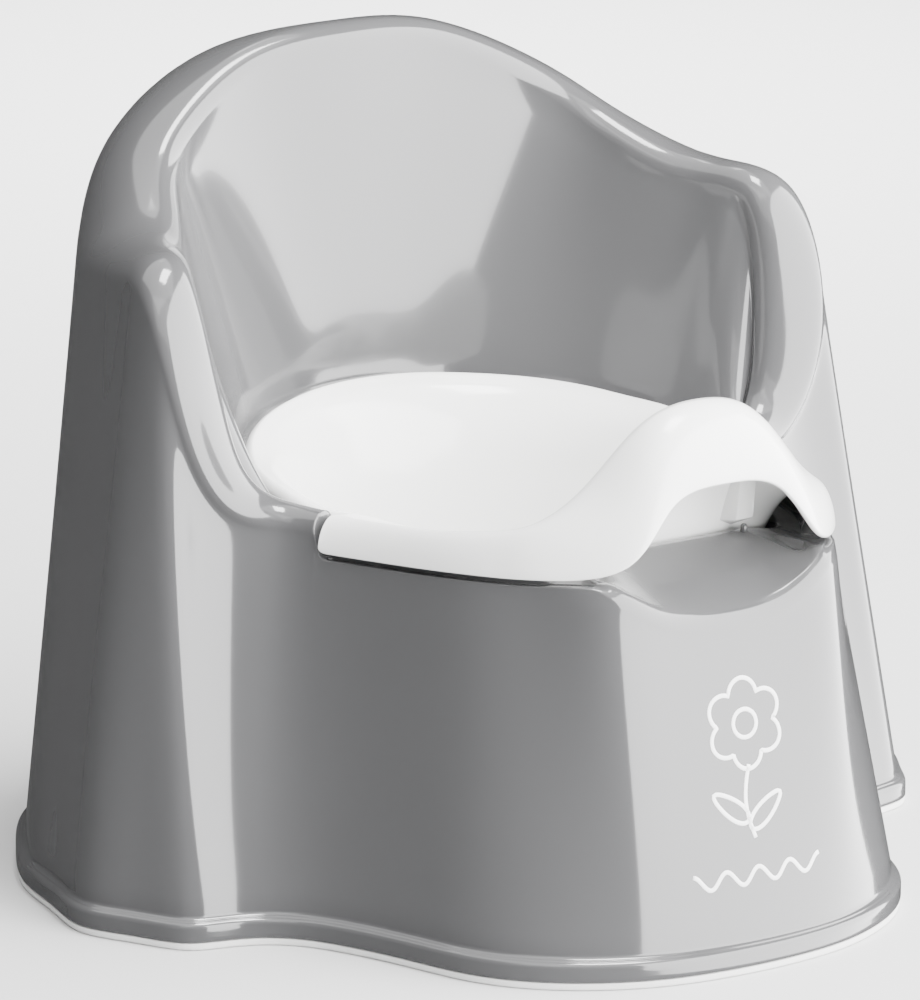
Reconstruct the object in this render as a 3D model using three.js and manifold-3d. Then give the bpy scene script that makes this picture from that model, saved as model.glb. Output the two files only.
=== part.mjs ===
// Potty training chair: a one-piece chair moulding, a grip strip under its base and a lift-out potty.
// Millimetres, +Z up. The front of the chair faces -Y, and x = 0 is the plane of symmetry.
// The origin is on the floor, at the middle of the base.
import * as THREE from 'three';
import { ConvexGeometry } from 'three/addons/geometries/ConvexGeometry.js';
import { mergeVertices } from 'three/addons/utils/BufferGeometryUtils.js';
import Module from 'manifold-3d';

const wasm = await Module();
wasm.setup();

// ---- Driving dimensions -------------------------------------------------------------------------

const CHAIR_WALL = 2.6;
const POTTY_WALL = 2.4;
const STRIP_HEIGHT = 3.0;
const STRIP_WIDTH = 4.2;
const STRIP_INSET = 0.3;
const FIT_GAP = 0.3;
const FLANGE_BOTTOM = STRIP_HEIGHT + FIT_GAP;
const FLANGE_TOP = 11.5;
const FOOT_INSET = 4.1;
const FOOT_HEIGHT = 4.5;
const COLLAR_DEPTH = 6;
const LIP_GAP = 1.7;
const LIP_OVERHANG = 1.5;
const POTTY_RIM_INSET = 3.6;
const POTTY_RIM_RADIUS = 3.2;
const RIM_REST_GAP = 0.8;
const COLUMNS_PER_STATION = 2;

// Stations run from the middle of the front to the middle of the back, on the +X side. Station by
// station, the lists below describe the same vertical section of the chair. The -X side mirrors it.

// Outline of the base flange on the floor (x, y).
const BASE = [
  [0, -177], [28, -175], [54, -168], [81, -152], [101, -128], [112, -100], [122.5, -73],
  [134, -53.5], [148, -42.5], [163.3, -37.8], [176, -31], [187, -12.5], [197, 9.8], [193.2, 37.4],
  [187.3, 69], [171.5, 102.5], [146, 137.3], [106, 161], [54, 174.5], [0, 177],
];

// Crest of the chair's rolled rim (x, y, z): front lobe, arm front, arm top, backrest.
const CREST = [
  [0, -146, 139], [25, -146, 142.5], [47, -142, 154], [63.5, -121.5, 161], [77, -99, 163.5],
  [86.5, -75, 164.5], [93.5, -51, 165], [100.5, -30, 165], [110.5, -9, 166.5], [125, -1, 177],
  [133.5, 4, 205.5], [138.5, 12, 239], [139, 26.5, 259.5], [133.8, 47, 263], [124.2, 63.2, 265.5],
  [116, 78.5, 272], [106, 96.8, 282.5], [86.7, 112, 298], [46, 125.5, 317.5], [0, 127, 322.5],
];

// Radius of the roll towards the seat, then the width and height of the roll towards the outside.
const ROLL_INSIDE = [5, 5, 5, 6, 6, 6, 6, 6, 7, 8, 9, 9.5, 9.5, 9.5, 9.5, 9.5, 9, 9, 9, 9];
const ROLL_WIDTH = [5, 5, 5, 5, 5, 5, 6, 7, 10, 16, 20, 17.5, 16, 21, 29, 31, 30.5, 30.5, 27, 20];
const ROLL_HEIGHT = [5, 5, 5, 7, 7, 7, 7, 8, 9, 9, 8, 8.5, 12, 17, 26, 32, 32, 22, 16, 14.5];

// Outer edge of the ledge that carries the potty (x, y, z), and the width of that ledge.
const LEDGE = [
  [0, -112.5, 157], [21, -112.5, 157], [40, -111, 156.5], [57.5, -105.5, 153.5], [69.5, -91, 152],
  [78.5, -69, 153], [85.5, -47, 155], [93.5, -28, 157], [102.5, -13, 158.5], [105.8, -3, 160],
  [106.5, 5, 161], [106, 15, 162], [105, 25, 163], [101.5, 39, 164], [95.5, 53, 165],
  [86, 69, 167], [71, 86, 169], [51, 101, 170.5], [26, 111.5, 172], [0, 115, 172.5],
];
const LEDGE_WIDTH = [5, 5, 5, 5, 5, 5.5, 6, 7.5, 9, 9, 9, 9, 9, 9, 9, 9, 9, 9, 9, 9];

// Height of the step in the front lobe's wall that the potty's lips sit on.
const STEP_HEIGHT = [139, 142, 153, 152.5, 151.2, 149.8, 148.6, 148, 148, 148, 148, 148, 148, 148,
  148, 148, 148, 148, 148, 148];
const STEP_END = 7.25;
const STEP_FADE = 0.06;
const LIP_END = 7.18;
const LIP_FADE = 0.05;
const BOWL_FRONT_FADE = 4.6;

// The potty: the lower edge of the splash guard's arch, and the crest of its guard and lips.
const GUARD_EDGE = [[0, -150, 190], [25, -150, 184.5], [45, -148, 163]];
const GUARD_CREST = [
  [0, -128, 218], [25, -127, 211.5], [46, -122, 190], [65, -114, 175], [77, -96, 169.5],
  [86.5, -74, 166.5], [93.5, -51, 165], [100.5, -30, 164],
];

// The bowl's rows: share of the crest's plan size, height, and how far the crest's height carries in.
const BOWL_CENTRE_Y = -6;
const BOWL_CREST_HEIGHT = 163;
const BOWL_ROWS = [
  [0.93, 160.8, 0.8], [0.86, 154.3, 0.5], [0.805, 142, 0.24], [0.765, 120, 0.05], [0.72, 84, 0],
  [0.69, 69, 0], [0.64, 58, 0], [0.56, 52, 0], [0.45, 49.5, 0], [0.22, 48.2, 0],
];
const BOWL_FLOOR = 48;

// Small details under the splash guard.
const RIB_PLACES = [1.3, 1.72];
const RIB_SHARES = [0.94, 0.83];
const RIB_FRONT_Y = -114;
const RIB_BOTTOM = 162;
const NUB_TAPER = 0.8;
const NUB_SIDES = 12;
const NUB = { x: 34, y: -113, radius: 1.6, bottom: 155.5, top: 160 };

// ---- Smooth closed curves through the stations --------------------------------------------------

const STATIONS = BASE.length;
const LOOP = 2 * (STATIONS - 1);
const SPLINE_PASSES = 40;

// The stations of both sides as one ring. A list of plain numbers stays the same on both sides.
function ring(stations) {
  const rows = stations.map((station) => (Array.isArray(station) ? station : [station]));
  const isPoint = rows[0].length > 1;
  const mirrored = rows.slice(1, -1).reverse().map((row) => (
    isPoint ? [-row[0], ...row.slice(1)] : row
  ));
  return [...rows, ...mirrored];
}

// The control points of the uniform cubic B-spline that passes through every point of a ring.
function controlPoints(points) {
  const count = points.length;
  let controls = points.map((point) => [...point]);
  for (let pass = 0; pass < SPLINE_PASSES; pass += 1) {
    controls = points.map((point, i) => point.map((value, axis) => {
      const before = controls[(i + count - 1) % count][axis];
      const after = controls[(i + 1) % count][axis];
      return (6 * value - before - after) / 4;
    }));
  }
  return controls;
}

function evaluate(controls, t) {
  const count = controls.length;
  const wrapped = ((t % count) + count) % count;
  const i = Math.floor(wrapped);
  const f = wrapped - i;
  const weights = [
    (1 - f) ** 3 / 6,
    (3 * f ** 3 - 6 * f ** 2 + 4) / 6,
    (-3 * f ** 3 + 3 * f ** 2 + 3 * f + 1) / 6,
    f ** 3 / 6,
  ];
  return controls[0].map((_, axis) => weights.reduce((sum, weight, k) => (
    sum + weight * controls[(i + k - 1 + count) % count][axis]
  ), 0));
}

function smoothStep(from, to, value) {
  const f = Math.min(Math.max((value - from) / (to - from), 0), 1);
  return f * f * (3 - 2 * f);
}

// Position along one side, from 0 at the front to STATIONS - 1 at the back, for any t of the loop.
function alongSide(t) {
  const wrapped = ((t % LOOP) + LOOP) % LOOP;
  return wrapped > LOOP / 2 ? LOOP - wrapped : wrapped;
}

const curves = {
  base: controlPoints(ring(BASE)),
  crest: controlPoints(ring(CREST)),
  rollInside: controlPoints(ring(ROLL_INSIDE)),
  rollWidth: controlPoints(ring(ROLL_WIDTH)),
  rollHeight: controlPoints(ring(ROLL_HEIGHT)),
  ledge: controlPoints(ring(LEDGE)),
  ledgeWidth: controlPoints(ring(LEDGE_WIDTH)),
  stepHeight: controlPoints(ring(STEP_HEIGHT)),
};

const number = (curve, t) => evaluate(curve, t)[0];
const point = (curve, t) => new THREE.Vector3(...evaluate(curve, t));
const flatPoint = (curve, t, z) => {
  const [x, y] = evaluate(curve, t);
  return new THREE.Vector3(x, y, z);
};

// A sum of vectors, each taken some number of times: combine([a, 1], [b, -2]) is a - 2b.
function combine(...terms) {
  const sum = new THREE.Vector3();
  for (const [vector, times] of terms) {
    sum.addScaledVector(vector, times);
  }
  return sum;
}

const mix = (a, b, share) => combine([a, 1 - share], [b, share]);
const UP = new THREE.Vector3(0, 0, 1);

// ---- The chair's outer surface ------------------------------------------------------------------

const TANGENT_REACH = 0.25;
const OUTLINE_REACH = 0.001;
const FOOT_RISE = 40;
const SHOULDER_REACH = 0.6;

function baseNormal(t) {
  const ahead = flatPoint(curves.base, t + OUTLINE_REACH, 0);
  const behind = flatPoint(curves.base, t - OUTLINE_REACH, 0);
  const along = ahead.sub(behind);
  return new THREE.Vector3(along.y, -along.x, 0).normalize();
}

// The directions at one place along the rim: out of the wall, and out of the crest.
function rimFrame(t) {
  const ledge = point(curves.ledge, t);
  const foot = flatPoint(curves.base, t, ledge.z);
  const ahead = point(curves.crest, t + TANGENT_REACH);
  const behind = point(curves.crest, t - TANGENT_REACH);
  const along = ahead.sub(behind).normalize();
  const away = foot.sub(ledge).normalize();
  const rise = away.clone().cross(along).normalize();
  const out = along.clone().cross(rise).normalize();
  return { rise, out };
}

// The flange's section: how far in from the base outline, and at which height.
const FLANGE_SECTION = [
  [0, FLANGE_BOTTOM], [0, FLANGE_TOP - 2.6], [0.7, FLANGE_TOP - 0.7], [2.2, FLANGE_TOP - 0.1],
  [3.4, FLANGE_TOP + 0.6], [FOOT_INSET, FLANGE_TOP + FOOT_HEIGHT],
];

function flangeColumn(t) {
  const normal = baseNormal(t);
  return FLANGE_SECTION.map(([inset, height]) => (
    combine([flatPoint(curves.base, t, height), 1], [normal, -inset])
  ));
}

function bezier(a, b, c, d, f) {
  const g = 1 - f;
  return combine([a, g ** 3], [b, 3 * f * g * g], [c, 3 * f * f * g], [d, f ** 3]);
}

// The wall from the flange to the roll, then the outer half of the roll up to the crest.
function wallAndShoulder(t, wallSteps, rollSteps) {
  const { rise, out } = rimFrame(t);
  const crest = point(curves.crest, t);
  const width = number(curves.rollWidth, t);
  const height = number(curves.rollHeight, t);
  const foot = flangeColumn(t).at(-1);
  const centre = combine([crest, 1], [rise, -height]);
  const shoulder = combine([centre, 1], [out, width]);
  const slope = shoulder.clone().sub(foot).normalize();
  const wall = [];
  for (let i = 1; i <= wallSteps; i += 1) {
    wall.push(bezier(
      foot,
      combine([foot, 1], [slope, FOOT_RISE]),
      combine([shoulder, 1], [rise, -height * SHOULDER_REACH]),
      shoulder,
      i / (wallSteps + 1),
    ));
  }
  const roll = [];
  for (let i = 0; i <= rollSteps; i += 1) {
    const angle = (i / rollSteps) * (Math.PI / 2);
    roll.push(combine(
      [centre, 1],
      [out, width * Math.cos(angle)],
      [rise, height * Math.sin(angle)],
    ));
  }
  return { foot, wall, roll, rise, out, crest };
}

const FINE_WALL_STEPS = 15;
const FINE_ROLL_STEPS = 8;

// The place where the outer surface reaches a given height.
function onWall(t, height) {
  const { foot, wall, roll } = wallAndShoulder(t, FINE_WALL_STEPS, FINE_ROLL_STEPS);
  const line = [foot, ...wall, ...roll];
  for (let i = 1; i < line.length; i += 1) {
    if (line[i].z >= height) {
      const share = (height - line[i - 1].z) / (line[i].z - line[i - 1].z);
      return mix(line[i - 1], line[i], share);
    }
  }
  return line.at(-1).clone();
}

// ---- The chair's section ------------------------------------------------------------------------

const WALL_STEPS = 5;
const OUTER_ROLL_STEPS = 5;
const INNER_ROLL_STEPS = 3;
const BACK_STEPS = 4;
const BACK_REMAINDER = 0.3;

// The step that the lips sit on, and the ridge that they hook over: inward and upward distances.
const STEP_SECTION = [
  [0, -1.2], [0.5, -0.1], [3.2, 0], [3.7, 0.3], [4.1, 4], [5.6, 5.6], [9, 5.4], [11.6, 3], [12.2, 1.2],
];
const RIDGE_FOOT = 3;
const STEP_START = 2;
const STEP_FULL = 2.6;
const RIDGE_START = 2.85;
const RIDGE_FULL = 3.35;
const RIDGE_LAST = 6.9;
const RIDGE_GONE = 7.05;
const STEP_UNDERCUT = 1.2;
const STEP_TO_LEDGE = 0.5;

// How much of the step there is at t: none in the finger recess, on the arms or at the back.
function stepShare(t) {
  const side = alongSide(t);
  const before = smoothStep(STEP_START, STEP_FULL, side);
  return before * (1 - smoothStep(STEP_END - STEP_FADE, STEP_END + STEP_FADE, side));
}

function ledgePoint(t) {
  const ledge = point(curves.ledge, t);
  const share = stepShare(t);
  ledge.z = ledge.z * (1 - share) + (number(curves.stepHeight, t) + STEP_TO_LEDGE) * share;
  return ledge;
}

function towardsMiddle(vector) {
  return new THREE.Vector3(-vector.x, -vector.y, 0).normalize();
}

function chairColumn(t, withStep) {
  const { foot, wall, roll, rise, out, crest } = wallAndShoulder(t, WALL_STEPS, OUTER_ROLL_STEPS);
  const radius = number(curves.rollInside, t);
  const centre = combine([crest, 1], [rise, -radius]);
  for (let i = 1; i <= INNER_ROLL_STEPS; i += 1) {
    const angle = (i / INNER_ROLL_STEPS) * (Math.PI / 2);
    roll.push(combine(
      [centre, 1],
      [out, -radius * Math.sin(angle)],
      [rise, radius * Math.cos(angle)],
    ));
  }
  const share = stepShare(t);
  const stepHeight = number(curves.stepHeight, t);
  const edge = onWall(t, stepHeight);
  const inward = new THREE.Vector3(-out.x, -out.y, 0).normalize();
  const side = alongSide(t);
  const ridgeStart = smoothStep(RIDGE_START, RIDGE_FULL, side);
  const ridge = ridgeStart * (1 - smoothStep(RIDGE_LAST, RIDGE_GONE, side));
  const drop = Math.max(crest.z - stepHeight, 0);
  const top = roll.map((place, i) => {
    const [across, height] = STEP_SECTION[i];
    const lift = i > RIDGE_FOOT ? height * ridge : height;
    const stepped = combine([edge, 1], [inward, across], [UP, lift]);
    const lowered = combine([place, 1], [UP, -drop]);
    return mix(place, withStep ? stepped : lowered, share);
  });
  const wallTop = stepHeight - (withStep ? STEP_UNDERCUT : 2 * STEP_UNDERCUT + radius);
  const sides = wall.map((place, i) => {
    const height = foot.z + (wallTop - foot.z) * ((i + 1) / (WALL_STEPS + 1));
    return mix(place, onWall(t, height), share);
  });
  const ledge = ledgePoint(t);
  const back = [];
  for (let i = 1; i <= BACK_STEPS; i += 1) {
    back.push(mix(top.at(-1), ledge, i / (BACK_STEPS + BACK_REMAINDER)));
  }
  return { flange: flangeColumn(t), sides, top, back, ledge };
}

const LEDGE_START = 0.9;
const LEDGE_FALL = 0.6;
const LEDGE_ROUNDING = 1;

// The ledge and the short collar round the potty's hole, seen from above and then from below.
function ledgeRows(t, ledge) {
  const inward = towardsMiddle(ledge);
  const width = number(curves.ledgeWidth, t);
  const place = (across, height) => combine([ledge, 1], [inward, across], [UP, height]);
  const above = [
    place(LEDGE_START, 0),
    place(width - LEDGE_ROUNDING, -LEDGE_FALL),
    place(width, -LEDGE_ROUNDING - LEDGE_FALL),
    place(width, -COLLAR_DEPTH),
  ];
  const below = [
    place(width - CHAIR_WALL, -COLLAR_DEPTH),
    place(width - CHAIR_WALL, -LEDGE_ROUNDING - CHAIR_WALL),
    place(LEDGE_START, -CHAIR_WALL),
  ];
  return { above, below };
}

// ---- Grids of points, and meshes from them ------------------------------------------------------

const LIP_END_PLACES = [7.13, 7.18, 7.23, 7.31];

// Where the columns stand: even between the stations, closer together at the ends of the lips.
function columnPlaces() {
  const places = [];
  for (let i = 0; i < (STATIONS - 1) * COLUMNS_PER_STATION; i += 1) {
    places.push(i / COLUMNS_PER_STATION);
  }
  places.push(STATIONS - 1);
  const side = [...places, ...LIP_END_PLACES].sort((a, b) => a - b);
  const mirrored = side.slice(1, -1).reverse().map((t) => LOOP - t);
  return [...side, ...mirrored];
}

const PLACES = columnPlaces();

// The same grid moved along its own normals, to make the other face of a thin wall.
function offsetGrid(columns, distance) {
  const count = columns.length;
  return columns.map((column, i) => column.map((place, j) => {
    const left = columns[(i + count - 1) % count][j];
    const right = columns[(i + 1) % count][j];
    const below = column[Math.max(j - 1, 0)];
    const above = column[Math.min(j + 1, column.length - 1)];
    const around = right.clone().sub(left);
    const up = above.clone().sub(below);
    const normal = around.cross(up).normalize();
    return combine([place, 1], [normal, distance]);
  }));
}

// A closed mesh from columns that each run once round a closed section.
function ringMesh(columns) {
  const rows = columns[0].length;
  const positions = columns.flat().flatMap((place) => place.toArray());
  const index = [];
  for (let i = 0; i < columns.length; i += 1) {
    const next = (i + 1) % columns.length;
    for (let j = 0; j < rows; j += 1) {
      const above = (j + 1) % rows;
      const [a, b] = [i * rows + j, next * rows + j];
      const [c, d] = [next * rows + above, i * rows + above];
      index.push(a, b, c, a, c, d);
    }
  }
  return geometryFrom(positions, index);
}

// A closed mesh from columns that start and end on two middle points.
function cappedMesh(columns, startPoint, endPoint) {
  const rows = columns[0].length;
  const positions = columns.flat().flatMap((place) => place.toArray());
  const start = positions.length / 3;
  positions.push(...startPoint.toArray(), ...endPoint.toArray());
  const end = start + 1;
  const index = [];
  for (let i = 0; i < columns.length; i += 1) {
    const next = (i + 1) % columns.length;
    for (let j = 0; j < rows - 1; j += 1) {
      const [a, b] = [i * rows + j, next * rows + j];
      index.push(a, b, b + 1, a, b + 1, a + 1);
    }
    index.push(start, next * rows, i * rows);
    index.push(end, i * rows + rows - 1, next * rows + rows - 1);
  }
  return geometryFrom(positions, index);
}

function geometryFrom(positions, index) {
  const geometry = new THREE.BufferGeometry();
  geometry.setAttribute('position', new THREE.Float32BufferAttribute(positions, 3));
  geometry.setIndex(index);
  return geometry;
}

// ---- Joining small details to a mesh ------------------------------------------------------------

function toSolid(geometry) {
  return new wasm.Manifold(new wasm.Mesh({
    numProp: 3,
    vertProperties: new Float32Array(geometry.attributes.position.array),
    triVerts: new Uint32Array(geometry.index.array),
  }));
}

function pinSolid(x, y, radius, bottom, top) {
  const pin = new THREE.CylinderGeometry(radius * NUB_TAPER, radius, top - bottom, NUB_SIDES);
  pin.rotateX(Math.PI / 2);
  pin.translate(x, y, (bottom + top) / 2);
  return toSolid(mergedPositions(pin));
}

function mergedPositions(geometry) {
  geometry.deleteAttribute('normal');
  geometry.deleteAttribute('uv');
  return mergeVertices(geometry);
}

function joined(geometry, details) {
  let solid = toSolid(geometry);
  for (const detail of details) {
    solid = solid.add(detail);
  }
  const mesh = solid.getMesh();
  return geometryFrom(mesh.vertProperties, Array.from(mesh.triVerts));
}

// ---- The three pieces ---------------------------------------------------------------------------

function chairShellGeometry() {
  const seen = PLACES.map((t) => chairColumn(t, true));
  const core = PLACES.map((t) => chairColumn(t, false));
  const flatRows = (parts) => [...parts.flange, ...parts.sides, ...parts.top, ...parts.back];
  const inside = offsetGrid(core.map(flatRows), -CHAIR_WALL);
  const columns = PLACES.map((t, i) => {
    const { above, below } = ledgeRows(t, seen[i].ledge);
    const hidden = inside[i].slice(0, -1).reverse();
    hidden.at(-1).z = FLANGE_BOTTOM;
    return [...flatRows(seen[i]), ...above, ...below, ...hidden];
  });
  const nubs = [-NUB.x, NUB.x].map((x) => pinSolid(x, NUB.y, NUB.radius, NUB.bottom, NUB.top));
  return joined(ringMesh(columns), nubs);
}

const STRIP_CHAMFER = 0.5;
const STRIP_SECTION = [
  [STRIP_INSET, STRIP_CHAMFER], [STRIP_INSET, STRIP_HEIGHT], [STRIP_INSET + STRIP_WIDTH, STRIP_HEIGHT],
  [STRIP_INSET + STRIP_WIDTH, 0], [STRIP_INSET + STRIP_CHAMFER, 0],
];

function gripStripGeometry() {
  return ringMesh(PLACES.map((t) => {
    const normal = baseNormal(t);
    return STRIP_SECTION.map(([inset, height]) => (
      combine([flatPoint(curves.base, t, height), 1], [normal, -inset])
    ));
  }));
}

const EDGE_STEPS = 5;
const ARCH_SHARE_FROM = 3;
const ARCH_SHARE_TO = 4;
const LEAN = 0.12;

// The lower outer edge of a lip: it stands a little proud of the wall and clear of the step.
function lipEdge(t) {
  const { out } = rimFrame(t);
  const outward = new THREE.Vector3(out.x, out.y, 0).normalize();
  return combine([onWall(t, number(curves.stepHeight, t) + LIP_GAP), 1], [outward, LIP_OVERHANG]);
}

// The lower edge and the crest of the guard and the lips, all round as one ring of stations.
function guardCurves() {
  const edge = [];
  const crest = [];
  for (let i = 0; i < STATIONS; i += 1) {
    edge.push(i < GUARD_EDGE.length ? GUARD_EDGE[i] : lipEdge(i).toArray());
    crest.push(i < GUARD_CREST.length ? GUARD_CREST[i] : CREST[i]);
  }
  return { edge: controlPoints(ring(edge)), crest: controlPoints(ring(crest)) };
}

const guard = guardCurves();

// The potty's outer edge and crest at one place: a plain rim at the back, lips and guard in front.
// The bowl's own crest follows them, but runs smoothly past the ends of the lips.
function pottyEdgeAndCrest(t) {
  const side = alongSide(t);
  const ledge = point(curves.ledge, t);
  const inward = towardsMiddle(ledge);
  const rimEdge = combine([ledge, 1], [inward, POTTY_RIM_INSET], [UP, RIM_REST_GAP]);
  const rimCrest = combine([rimEdge, 1], [inward, POTTY_RIM_RADIUS], [UP, POTTY_RIM_RADIUS]);
  const arch = 1 - smoothStep(ARCH_SHARE_FROM, ARCH_SHARE_TO, side);
  const frontEdge = mix(lipEdge(t), point(guard.edge, t), arch);
  const frontCrest = point(guard.crest, t);
  const front = 1 - smoothStep(LIP_END - LIP_FADE, LIP_END + LIP_FADE, side);
  const bowlFront = 1 - smoothStep(BOWL_FRONT_FADE, LIP_END - LIP_FADE, side);
  return {
    edge: mix(rimEdge, frontEdge, front),
    crest: mix(rimCrest, frontCrest, front),
    bowlCrest: mix(rimCrest, frontCrest, bowlFront),
  };
}

function bowlPoint(bowlCrest, share, height, carry) {
  return new THREE.Vector3(
    bowlCrest.x * share,
    BOWL_CENTRE_Y + (bowlCrest.y - BOWL_CENTRE_Y) * share,
    height + (bowlCrest.z - BOWL_CREST_HEIGHT) * carry,
  );
}

function pottyColumn(t) {
  const { edge, crest, bowlCrest } = pottyEdgeAndCrest(t);
  const corner = new THREE.Vector3(
    edge.x + (crest.x - edge.x) * LEAN,
    edge.y + (crest.y - edge.y) * LEAN,
    crest.z,
  );
  const centre = combine([edge, 1], [crest, 1], [corner, -1]);
  const column = [];
  for (let i = 0; i <= EDGE_STEPS; i += 1) {
    const angle = (i / EDGE_STEPS) * (Math.PI / 2);
    column.push(combine(
      [centre, 1 - Math.cos(angle) - Math.sin(angle)],
      [edge, Math.cos(angle)],
      [crest, Math.sin(angle)],
    ));
  }
  for (const [share, height, carry] of BOWL_ROWS) {
    column.push(bowlPoint(bowlCrest, share, height, carry));
  }
  return column;
}

// The middle of the bowl's wall at a place along the crest and a share of the crest's plan size.
function insideBowlWall(t, share) {
  const { bowlCrest } = pottyEdgeAndCrest(t);
  const rows = [[1, BOWL_CREST_HEIGHT, 1], ...BOWL_ROWS];
  const i = rows.findIndex((row) => row[0] <= share);
  const [outerShare, outerHeight, outerCarry] = rows[i - 1];
  const [innerShare, innerHeight, innerCarry] = rows[i];
  const f = (outerShare - share) / (outerShare - innerShare);
  const carry = outerCarry + (innerCarry - outerCarry) * f;
  const height = outerHeight + (innerHeight - outerHeight) * f;
  return bowlPoint(bowlCrest, share, height, carry).setZ(
    height + (bowlCrest.z - BOWL_CREST_HEIGHT) * carry - POTTY_WALL,
  );
}

// The rib that stiffens the guard's arch: it stands on the bowl's front wall, under the guard.
function ribSolid(places) {
  const corners = places.flatMap((t) => {
    const inWall = RIB_SHARES.map((share) => insideBowlWall(t, share));
    return [...inWall, new THREE.Vector3(inWall[0].x, RIB_FRONT_Y, RIB_BOTTOM)];
  });
  return toSolid(mergedPositions(new ConvexGeometry(corners)));
}

function innerPottyGeometry() {
  const upper = PLACES.map((t) => pottyColumn(t));
  const lower = offsetGrid(upper, -POTTY_WALL);
  const columns = upper.map((column, i) => [...lower[i].reverse(), ...column]);
  const middle = new THREE.Vector3(0, BOWL_CENTRE_Y, BOWL_FLOOR);
  const underside = new THREE.Vector3(0, BOWL_CENTRE_Y, BOWL_FLOOR - POTTY_WALL);
  const ribs = [RIB_PLACES, RIB_PLACES.map((t) => LOOP - t)].map(ribSolid);
  return joined(cappedMesh(columns, underside, middle), ribs);
}

const chairPlastic = new THREE.MeshStandardMaterial({ color: 0x8a8a8c, roughness: 0.18, metalness: 0 });
const pottyPlastic = new THREE.MeshStandardMaterial({ color: 0xf7f7f5, roughness: 0.22, metalness: 0 });
const gripRubber = new THREE.MeshStandardMaterial({ color: 0xe9e9e7, roughness: 0.7, metalness: 0 });

function piece(name, geometry, material) {
  const mesh = new THREE.Mesh(geometry, material);
  mesh.name = name;
  return mesh;
}

const group = new THREE.Group();
group.add(piece('chair_shell', chairShellGeometry(), chairPlastic));
group.add(piece('grip_strip', gripStripGeometry(), gripRubber));
group.add(piece('inner_potty', innerPottyGeometry(), pottyPlastic));

export default group;
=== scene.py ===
"""Potty training chair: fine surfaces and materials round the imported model.

Metres in Blender, +Z up, the front faces -Y. Section sizes are in millimetres, as in the model's source,
and they become metres when a mesh is made.
"""
import math

import bmesh
import bpy
import numpy as np
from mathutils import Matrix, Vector


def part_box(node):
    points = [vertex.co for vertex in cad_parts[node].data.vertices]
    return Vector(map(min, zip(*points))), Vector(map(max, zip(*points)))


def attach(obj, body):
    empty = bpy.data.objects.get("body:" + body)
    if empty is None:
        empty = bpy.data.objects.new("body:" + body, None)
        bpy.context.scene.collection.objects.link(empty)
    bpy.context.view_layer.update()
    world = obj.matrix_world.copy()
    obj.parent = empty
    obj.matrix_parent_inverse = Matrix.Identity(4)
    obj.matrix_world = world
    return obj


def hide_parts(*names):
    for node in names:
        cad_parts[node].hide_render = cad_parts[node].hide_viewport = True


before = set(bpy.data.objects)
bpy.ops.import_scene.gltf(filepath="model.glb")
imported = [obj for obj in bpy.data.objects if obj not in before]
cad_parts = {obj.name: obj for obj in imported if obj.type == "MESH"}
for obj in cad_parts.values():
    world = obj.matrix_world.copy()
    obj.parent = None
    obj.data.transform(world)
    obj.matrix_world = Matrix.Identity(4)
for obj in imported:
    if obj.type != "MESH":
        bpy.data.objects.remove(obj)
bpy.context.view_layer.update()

# ---- Driving dimensions, in millimetres ------------------------------------------------------------------

MM = 0.001
CHAIR_WALL = 2.6
POTTY_WALL = 2.4
STRIP_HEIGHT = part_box("grip_strip")[1].z / MM
STRIP_WIDTH = 4.2
STRIP_INSET = 0.3
FLANGE_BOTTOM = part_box("chair_shell")[0].z / MM
FLANGE_TOP = 11.5
COLLAR_DEPTH = 6
LIP_GAP = 3.6
LIP_OVERHANG = 1.5
POTTY_RIM_INSET = 3.6
POTTY_RIM_RADIUS = 3.2
RIM_REST_GAP = 0.8

# Stations run from the middle of the front to the middle of the back, on the +X side; the other side
# mirrors it. The tables are those of the model's source, but the front lobe's crest and roll stand a little
# fuller here round the finger recess.
# Outline of the base flange on the floor (x, y).
BASE = [
    [0, -177], [28, -175], [54, -168], [81, -152], [101, -128], [112, -100], [122.5, -73],
    [134, -53.5], [148, -42.5], [163.3, -37.8], [176, -31], [187, -12.5], [197, 9.8], [193.2, 37.4],
    [187.3, 69], [171.5, 102.5], [146, 137.3], [106, 161], [54, 174.5], [0, 177],
]
# Crest of the chair's rolled rim (x, y, z): front lobe, arm front, arm top, backrest.
CREST = [
    [0, -143, 140], [25, -143, 143.5], [47, -140.5, 154.5], [63.5, -121.5, 161], [77, -99, 163.5],
    [86.5, -75, 164.5], [93.5, -51, 165], [100.5, -30, 165], [110.5, -9, 166.5], [125, -1, 177],
    [133.5, 4, 205.5], [138.5, 12, 239], [139, 26.5, 259.5], [133.8, 47, 263], [124.2, 63.2, 265.5],
    [116, 78.5, 272], [106, 96.8, 282.5], [86.7, 112, 298], [46, 125.5, 317.5], [0, 127, 322.5],
]
# Radius of the roll towards the seat, then the width and height of the roll towards the outside.
ROLL_INSIDE = [5, 5, 5, 6, 6, 6, 6, 6, 7, 8, 9, 9.5, 9.5, 9.5, 9.5, 9.5, 9, 9, 9, 9]
ROLL_WIDTH = [9, 9, 7, 5, 5, 5, 6, 7, 10, 16, 20, 17.5, 16, 21, 29, 31, 30.5, 30.5, 27, 20]
ROLL_HEIGHT = [9, 9, 7, 7, 7, 7, 7, 8, 9, 9, 8, 8.5, 12, 17, 26, 32, 32, 22, 16, 14.5]
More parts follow.
